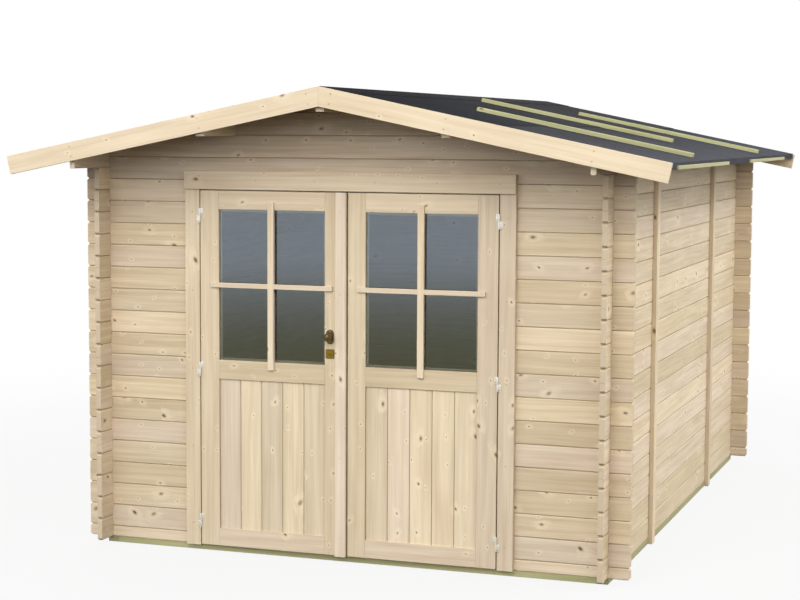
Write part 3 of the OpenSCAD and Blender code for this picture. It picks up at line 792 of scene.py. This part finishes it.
# An upright bar with a level bar halved round it, between low and high
def barCross(bm, low, high, upright, level, width):
    x, z = (low[0] + high[0]) / 2, (low[2] + high[2]) / 2
    u, v, lap = upright / 2, level / 2, glazing["lap"]
    easedBox(bm, (x - u, low[1], low[2]), (x + u, high[1], high[2]), width)
    easedBox(bm, (low[0], low[1] + lap, z - v), (x - u + lap, high[1], z + v), width, 1)
    easedBox(bm, (x + u - lap, low[1] + lap, z - v), (high[0], high[1], z + v), width, 1)


# The bars over the leaf's face, and their packing down to the pane
def glazingBars(side):
    node = side + "_glazing_bars"
    low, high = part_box(node)
    paneLow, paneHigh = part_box(side + "_glass")
    upright, level, slim = glazing["upright"], glazing["level"], 2 * glazing["slim"]
    bm = bmesh.new()
    barCross(bm, low, high, upright, level, glazing["ease"])
    barCross(bm, (paneLow[0], high[1] - glazing["lap"], paneLow[2]),
             (paneHigh[0], paneLow[1] - glazing["clear"], paneHigh[2]),
             upright - slim, level - slim, glazing["packingEase"])
    name = camelName(node)
    return finishPiece(name, meshFrom(bm, name, ["stripWood", "levelStrip"]), node)


def glazingBeads(side):
    low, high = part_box(side + "_glass")
    width, height, bead = high[0] - low[0], high[2] - low[2], glazing["bead"]
    mesh = grow("beadLoop", {
        "Width": width, "Height": height, "Bead": bead, "Bevel": glazing["beadBevel"],
        "Material": finishes["beadWood"]})
    middle = ((low[0] + high[0]) / 2, high[1] + bead / 2 + glazing["clear"], (low[2] + high[2]) / 2)
    mesh.transform(Matrix.Translation(middle) @ Matrix.Rotation(math.pi / 2, 4, "X"))
    return finishPiece(side + "GlazingBeads", mesh, side + "_rails", stands=False)


for side in ("left", "right"):
    glazingBars(side)
    glazingBeads(side)
print("panes glazed")


# Skins rings of points one after the other; a ring of one point closes the end
def loft(bm, rings, place):
    made = [[bm.verts.new(place @ Vector(point)) for point in ring] for ring in rings]
    for low, high in zip(made, made[1:]):
        steps = max(len(low), len(high))
        for i in range(steps):
            j = (i + 1) % steps
            corners = [low[i % len(low)], low[j % len(low)], high[j % len(high)], high[i % len(high)]]
            bm.faces.new(list(dict.fromkeys(corners)))
    return made


def circle(radius, height, steps=40):
    if radius == 0:
        return [(0, 0, height)]
    turns = [2 * math.pi * i / steps for i in range(steps)]
    return [(radius * math.cos(turn), radius * math.sin(turn), height) for turn in turns]


# A rectangle with round corners, or an oval where the corners meet
def roundedRing(width, height, corner, level, steps=10):
    points = []
    for quarter in range(4):
        cx = (width / 2 - corner) * (1 if quarter in (0, 3) else -1)
        cy = (height / 2 - corner) * (1 if quarter < 2 else -1)
        for i in range(steps + 1):
            turn = math.pi / 2 * (quarter + i / steps)
            points.append((cx + corner * math.cos(turn), cy + corner * math.sin(turn), level))
    return points


# Fills between an outer ring and a recess, and sinks the recess
def sunkFace(bm, ring, recess, depth, place):
    top = [bm.verts.new(place @ Vector(point)) for point in recess]
    loops = []
    for verts in (ring, top):
        loops += [bm.edges.get(pair) or bm.edges.new(pair) for pair in zip(verts, verts[1:] + verts[:1])]
    bmesh.ops.triangle_fill(bm, use_beauty=True, edges=loops)
    foot = [bm.verts.new(place @ Vector((x, y, z - depth))) for x, y, z in recess]
    for i in range(len(top)):
        j = (i + 1) % len(top)
        bm.faces.new((top[i], top[j], foot[j], foot[i]))
    bm.faces.new(foot)


def outward(node):  # from the middle of the node's rear face, Z towards the front
    low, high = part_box(node)
    return (Matrix.Translation(((low[0] + high[0]) / 2, high[1], (low[2] + high[2]) / 2))
            @ Matrix.Rotation(math.pi / 2, 4, "X"))


turnedAngle = 0.7  # corners of turned metal over this stay sharp
knob = {
    "plate": (0.042, 0.076, 0.005),  # width, height and thickness of the oval plate
    "bevel": 0.0022,
    # radius and height over the plate
    "collar": ((0.0145, -0.002), (0.0145, 0.004), (0.013, 0.0055), (0.010, 0.0065), (0.009, 0.009)),
    "neckTop": 0.95,  # in half depths of the ball, behind its middle
    "ball": (0.021, 0.0168),  # radius and half depth
    "turns": (-64, 90, 11),  # degrees along the ball from behind to its face
    "reach": 0.058,
    "ring": 0.52,  # radius of the ring turned into its face, to the ball's
    "ringWide": 1.3,  # the ball's round ends at this many radii of the ring
    "groove": ((1.12, 0.0012), (1.0, 0.0016), (0.86, 0.0002)),  # radii of the ring, depth under the ball
    "crown": (0.5, 0.0006),  # and under the reach
}


# Turned knob on a bevelled oval plate
def doorKnob():
    place = outward("door_knob")
    bm = bmesh.new()
    width, height, thick = knob["plate"]
    bevel = knob["bevel"]
    steps = ((0, 0), (0, thick - bevel), (bevel, thick - bevel * 0.3), (3 * bevel, thick))
    rings = [roundedRing(width - less, height - less, (width - less) / 2, level) for less, level in steps]
    loft(bm, [[(0, 0, 0)], *rings, [(0, 0, thick)]], place)
    radius, half = knob["ball"]
    middle = knob["reach"] - half
    outline = [(across, thick + level) for across, level in knob["collar"]]
    outline.append((outline[-1][0], middle - half * knob["neckTop"]))
    turns = [math.radians(angle) for angle in range(*knob["turns"])]
    ball = [(radius * math.cos(turn), middle + half * math.sin(turn)) for turn in turns]
    rim = radius * knob["ring"]
    outline += [spot for spot in ball if spot[0] >= rim * knob["ringWide"] or spot[1] <= middle]
    face = middle + half * math.sqrt(1 - knob["ring"] ** 2)
    outline += [(rim * share, face - depth) for share, depth in knob["groove"]]
    share, depth = knob["crown"]
    outline += [(rim * share, knob["reach"] - depth), (0, knob["reach"])]
    loft(bm, [circle(across, level) for across, level in outline], place)
    return finishPiece("doorKnob", meshFrom(bm, "doorKnob", ["bronzed"], turnedAngle), "door_knob")


lock = {
    "plate": (0.048, 0.004, 0.005),  # side, round of the corners, thickness
    "bevel": 0.0014,
    # radius and height over the plate
    "barrel": ((0.0095, -0.001), (0.0095, 0.001), (0.008, 0.002), (0.008, 0.004), (0.007, 0.005)),
    "slot": (0.0022, 0.0092, 0.004),  # width, height and depth
}


# Square plate with the end of its lock barrel and the key's slot
def lockPlate():
    place = outward("lock_plate")
    side, corner, thick = lock["plate"]
    bm = bmesh.new()
    steps = ((0, 0), (0, thick - lock["bevel"]), (lock["bevel"], thick))
    rings = [roundedRing(side - 2 * less, side - 2 * less, corner - less, level, 4) for less, level in steps]
    loft(bm, [[(0, 0, 0)], *rings, [(0, 0, thick)]], place)
    rings = loft(bm, [circle(across, thick + level) for across, level in lock["barrel"]], place)
    reach = thick + lock["barrel"][-1][1]
    width, height, depth = lock["slot"]
    slot = [(x * width / 2, y * height / 2, reach) for x, y in ((-1, -1), (1, -1), (1, 1), (-1, 1))]
    sunkFace(bm, rings[-1], slot, depth, place)
    return finishPiece("lockPlate", meshFrom(bm, "lockPlate", ["wornBrass"], turnedAngle), "lock_plate")


doorKnob()
lockPlate()
print("knob and lock fitted")

screw = {"radius": 0.004, "dome": 0.0009, "skirt": 0.0012, "arm": 0.0026, "half": 0.00055, "depth": 0.0013,
         "sides": 14}


# Domed head with a cross sunk into it
def screwHead():
    bm = bmesh.new()
    radius, dome = screw["radius"], screw["dome"]
    outline = ((radius, -screw["skirt"]), (radius, dome * 0.2), (radius * 0.86, dome * 0.75))
    rings = loft(bm, [circle(across, level, screw["sides"]) for across, level in outline], Matrix())
    arm, half = screw["arm"], screw["half"]
    corners = [(arm, -half), (arm, half), (half, half)]
    cross = []
    for quarter in range(4):
        cross += [(x, y, dome) for x, y in corners]
        corners = [(-y, x) for x, y in corners]
    sunkFace(bm, rings[-1], cross, screw["depth"], Matrix())
    return meshFrom(bm, "screwHead", [])


# Evenly spaced screws along the middle of each face of a node that looks the given way
def screwLines(node, facing, count, inset, size=1.0, least=0.01):
    bm = solidOf(node)
    facing = Vector(facing).normalized()
    spots = []
    for face in bm.faces:
        if face.normal.dot(facing) > 0.97 and face.calc_area() > least:
            longest = max(face.edges, key=lambda edge: edge.calc_length())
            along = (longest.verts[1].co - longest.verts[0].co).normalized()
            half = longest.calc_length() / 2 - inset
            middle = face.calc_center_median()
            for i in range(count):
                spots.append((middle + along * half * (2 * i / (count - 1) - 1), face.normal.copy(), size))
    bm.free()
    return spots


def slopeNormal(side):
    return side * math.sin(slope), 0, math.cos(slope)


barging = {"at": (0.060, 0.650, 1.376), "apart": 0.050}  # from the ridge, on the purlins and the wall plate


def bargeScrews(node, side, facing):
    low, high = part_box(node)
    y = low[1] if facing < 0 else high[1]
    middle = high[2] - roof["bargeDepth"] / 2 / math.cos(slope)
    spots = []
    for x in barging["at"]:
        for across in (-0.5, 0.5):
            slip = across * barging["apart"] * math.sin(slope)
            z = middle - math.tan(slope) * x + across * barging["apart"] * math.cos(slope)
            spots.append((Vector((side * (x + slip), y, z)), Vector((0, facing, 0)), 1.0))
    return spots


front, left, right = (0, -1, 0), (-1, 0, 0), (1, 0, 0)
hinging = {
    "foot": 0.128,  # lowest hinge from the leaf's foot, highest from its top
    "top": 0.132,
    "plate": 0.0025,
    "in": 0.0115,  # screws from the pin, sideways and along it
    "along": (0.010, 0.029),
    "size": 0.62,
}
hingeX = abs(frame["record"]["behaviour"]["joints"][0]["pos_m"][0])
lowest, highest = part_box("left_stiles")[0][2] + hinging["foot"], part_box("left_stiles")[1][2] - hinging["top"]
hingeHeights = (lowest, (lowest + highest) / 2, highest)


# Two small screws in each hinge plate; dx and up point from the pin to the plate
def hingeScrews(node, x, dx, up):
    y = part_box(node)[1][1] - hinging["plate"]
    return [(Vector((x + dx * hinging["in"], y, z + up * height)), Vector(front), hinging["size"])
            for z in hingeHeights for height in hinging["along"]]


def plateScrews(node, places, depth, size):
    place = outward(node)
    return [(place @ Vector((x, z, depth)), Vector(front), size) for x, z in places]


pins = {"inset": 0.018, "sunk": 0.0003, "size": 0.55}


def barPins(node):
    low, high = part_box(node)
    x, z, inset = (low[0] + high[0]) / 2, (low[2] + high[2]) / 2, pins["inset"]
    ends = ((x, low[2] + inset), (x, high[2] - inset), (low[0] + inset, z), (high[0] - inset, z))
    return [(Vector((px, low[1] + pins["sunk"], pz)), Vector(front), pins["size"]) for px, pz in ends]


screwRows = (  # node, way the face looks, screws in a row, inset, size, least area of the face
    ("roof_battens", slopeNormal(-1), 5, 0.06),
    ("roof_battens", slopeNormal(1), 5, 0.06),
    ("eave_strips", left, 4, 0.06, 0.8),
    ("eave_strips", right, 4, 0.06, 0.8),
    ("storm_braces", left, 6, 0.10),
    ("storm_braces", right, 6, 0.10),
    ("left_door_post", front, 5, 0.12, 0.9, 0.1),
    ("right_door_post", front, 5, 0.12, 0.9, 0.1),
    ("door_head", front, 6, 0.08, 0.9, 0.1),
)
coverRow = ("cover_strip", front, 5, 0.10, 0.7)
knobScrews = (((0, 0.029), (0, -0.029)), 0.0046, 0.7)  # places on the plate, height, size
lockScrews = ([(x * 0.017, z * 0.017) for z in (1, -1) for x in (1, -1)], 0.0047, 0.6)
screwPlan = {
    "shed": [spot for row in screwRows for spot in screwLines(*row)]
            + bargeScrews("front_left_bargeboard", -1, -1) + bargeScrews("front_right_bargeboard", 1, -1)
            + bargeScrews("rear_left_bargeboard", -1, 1) + bargeScrews("rear_right_bargeboard", 1, 1)
            + hingeScrews("frame_hinges", -hingeX, -1, -1) + hingeScrews("frame_hinges", hingeX, 1, -1),
    "left_leaf": hingeScrews("left_hinges", -hingeX, 1, 1) + screwLines(*coverRow)
                 + barPins("left_glazing_bars") + plateScrews("door_knob", *knobScrews)
                 + plateScrews("lock_plate", *lockScrews),
    "right_leaf": hingeScrews("right_hinges", hingeX, -1, 1) + barPins("right_glazing_bars"),
}
screwAnchors = {"shed": "frame_hinges", "left_leaf": "left_hinges", "right_leaf": "right_hinges"}


def screwSets():
    head = bpy.data.objects.new("screwHead", screwHead())
    scene.collection.objects.link(head)
    for seed, (body, spots) in enumerate(screwPlan.items()):
        points = bpy.data.meshes.new("spots")
        points.from_pydata([spot[0] for spot in spots], [], [])
        facing = points.attributes.new("facing", "FLOAT_VECTOR", "POINT")
        facing.data.foreach_set("vector", [value for spot in spots for value in spot[1]])
        size = points.attributes.new("size", "FLOAT", "POINT")
        size.data.foreach_set("value", [spot[2] for spot in spots])
        mesh = grow("screwSet", {"Head": head, "Seed": seed, "Material": finishes["yellowSteel"]}, points)
        name = camelName(body) + "Screws"
        finishPiece(name, mesh, screwAnchors[body], stands=False)
        print(name + ":", len(spots))
    bpy.data.objects.remove(head)


screwSets()

studio = {
    "horizon": 2.02,  # strength of the sky at the horizon
    "shoulder": 2.36,  # as high as the rows of soft boxes reach
    "zenith": 0.22,  # and overhead
    "reach": (0.60, 0.74),  # sine of the height where the boxes end
    "floorColour": (0.46, 0.46, 0.46, 1),
    "bounce": (0.01, 0.01, 0.01, 1),  # the floor's colour for light thrown back at the shed
    "floorSize": 120.0,
    "white": 0.87,  # share of the floor that the camera sees as plain white
    "fade": (3.0, 8.0),  # metres from the shed where the floor turns into the backdrop
    "paintedReflectionNear": (0.50, 0.47, 0.27, 1),  # painted reflection: what glossy rays, as in the window panes, see of the floor close by
    "paintedReflectionFar": (1.25, 1.31, 1.40, 1),  # and far off, glowing brighter than white
    "paintedReflectionFade": (8.0, 26.0),
    "lamps": {  # place, aim, size in metres, watts
        "keyLight": ((-0.3, -8.6, 8.8), (0, -1.8, 1.0), 4.0, 340),
        "backLight": ((-6.5, 9.0, 7.5), (-0.5, 1.5, 1.0), 4.0, 200),
        "sideLight": ((7.8, 0.2, 7.6), (1.4, -0.2, 1.1), 3.5, 320),
    },
}
plainWhite = (1, 1, 1, 1)


def makeWorld():
    world = bpy.data.worlds.new("studio")
    scene.world = world
    world.use_nodes = True
    tree = world.node_tree
    tree.nodes.clear()
    path = add(tree, "ShaderNodeLightPath", {})
    seen = calc("MAXIMUM", path["Is Camera Ray"],
                calc("MAXIMUM", path["Is Glossy Ray"], path["Is Transmission Ray"]))
    height = split(add(tree, "ShaderNodeTexCoord", {})["Generated"])[2]
    level = fit(height, 0.0, studio["reach"][0], studio["horizon"], studio["shoulder"])
    over = fit(height, *studio["reach"], smooth=True)
    level = timesPlus(over, studio["zenith"] - studio["shoulder"], level)
    dome = put("ShaderNodeBackground", {"Color": plainWhite, "Strength": level})[0]
    white = add(tree, "ShaderNodeBackground", {"Color": plainWhite, "Strength": 1.0})[0]
    mix = put("ShaderNodeMixShader", {0: seen, 1: dome, 2: white})[0]
    put("ShaderNodeOutputWorld", {"Surface": mix})


def makeFloor():
    material, tree = newMaterial("paleFloor")
    path = add(tree, "ShaderNodeLightPath", {})
    base = tint(path["Is Diffuse Ray"], studio["floorColour"], studio["bounce"])
    shader = put("ShaderNodeBsdfPrincipled",
                 {"Base Color": base, "Roughness": 0.9, "Specular IOR Level": 0.1})[0]
    away = vecCalc("LENGTH", objectPlace(tree))
    glow = add(tree, "ShaderNodeEmission", {"Color": plainWhite, "Strength": 1.0})[0]
    seen = calc("MAXIMUM", path["Is Camera Ray"], path["Is Transmission Ray"])
    far = fit(away, *studio["fade"], studio["white"], 1.0, smooth=True)
    mix = put("ShaderNodeMixShader", {0: times(far, seen), 1: shader, 2: glow})[0]
    # painted reflection: glossy rays see a glowing floor, dark olive close by and pale blue far off
    share = fit(away, *studio["paintedReflectionFade"], smooth=True)
    paintedReflectionColour = tint(share, studio["paintedReflectionNear"], studio["paintedReflectionFar"])
    paintedReflection = put("ShaderNodeEmission", {"Color": paintedReflectionColour, "Strength": 1.0})[0]
    mix = put("ShaderNodeMixShader", {0: path["Is Glossy Ray"], 1: mix, 2: paintedReflection})[0]
    put("ShaderNodeOutputMaterial", {"Surface": mix})
    mesh = bpy.data.meshes.new("floorSheet")
    half = studio["floorSize"] / 2
    corners = [(-half, -half, 0), (half, -half, 0), (half, half, 0), (-half, half, 0)]
    mesh.from_pydata(corners, [], [(0, 1, 2, 3)])
    mesh.materials.append(material)
    sheet = bpy.data.objects.new("floorSheet", mesh)
    scene.collection.objects.link(sheet)


def makeLamps():
    for name, (place, aim, size, watts) in studio["lamps"].items():
        lamp = bpy.data.lights.new(name, "AREA")
        lamp.size = size
        lamp.energy = watts
        holder = bpy.data.objects.new(name, lamp)
        scene.collection.objects.link(holder)
        holder.location = place
        holder.rotation_mode = "QUATERNION"
        holder.rotation_quaternion = (Vector(aim) - Vector(place)).to_track_quat("-Z", "Y")


makeWorld()
makeFloor()
makeLamps()
print("studio:", len(studio["lamps"]), "lamps")
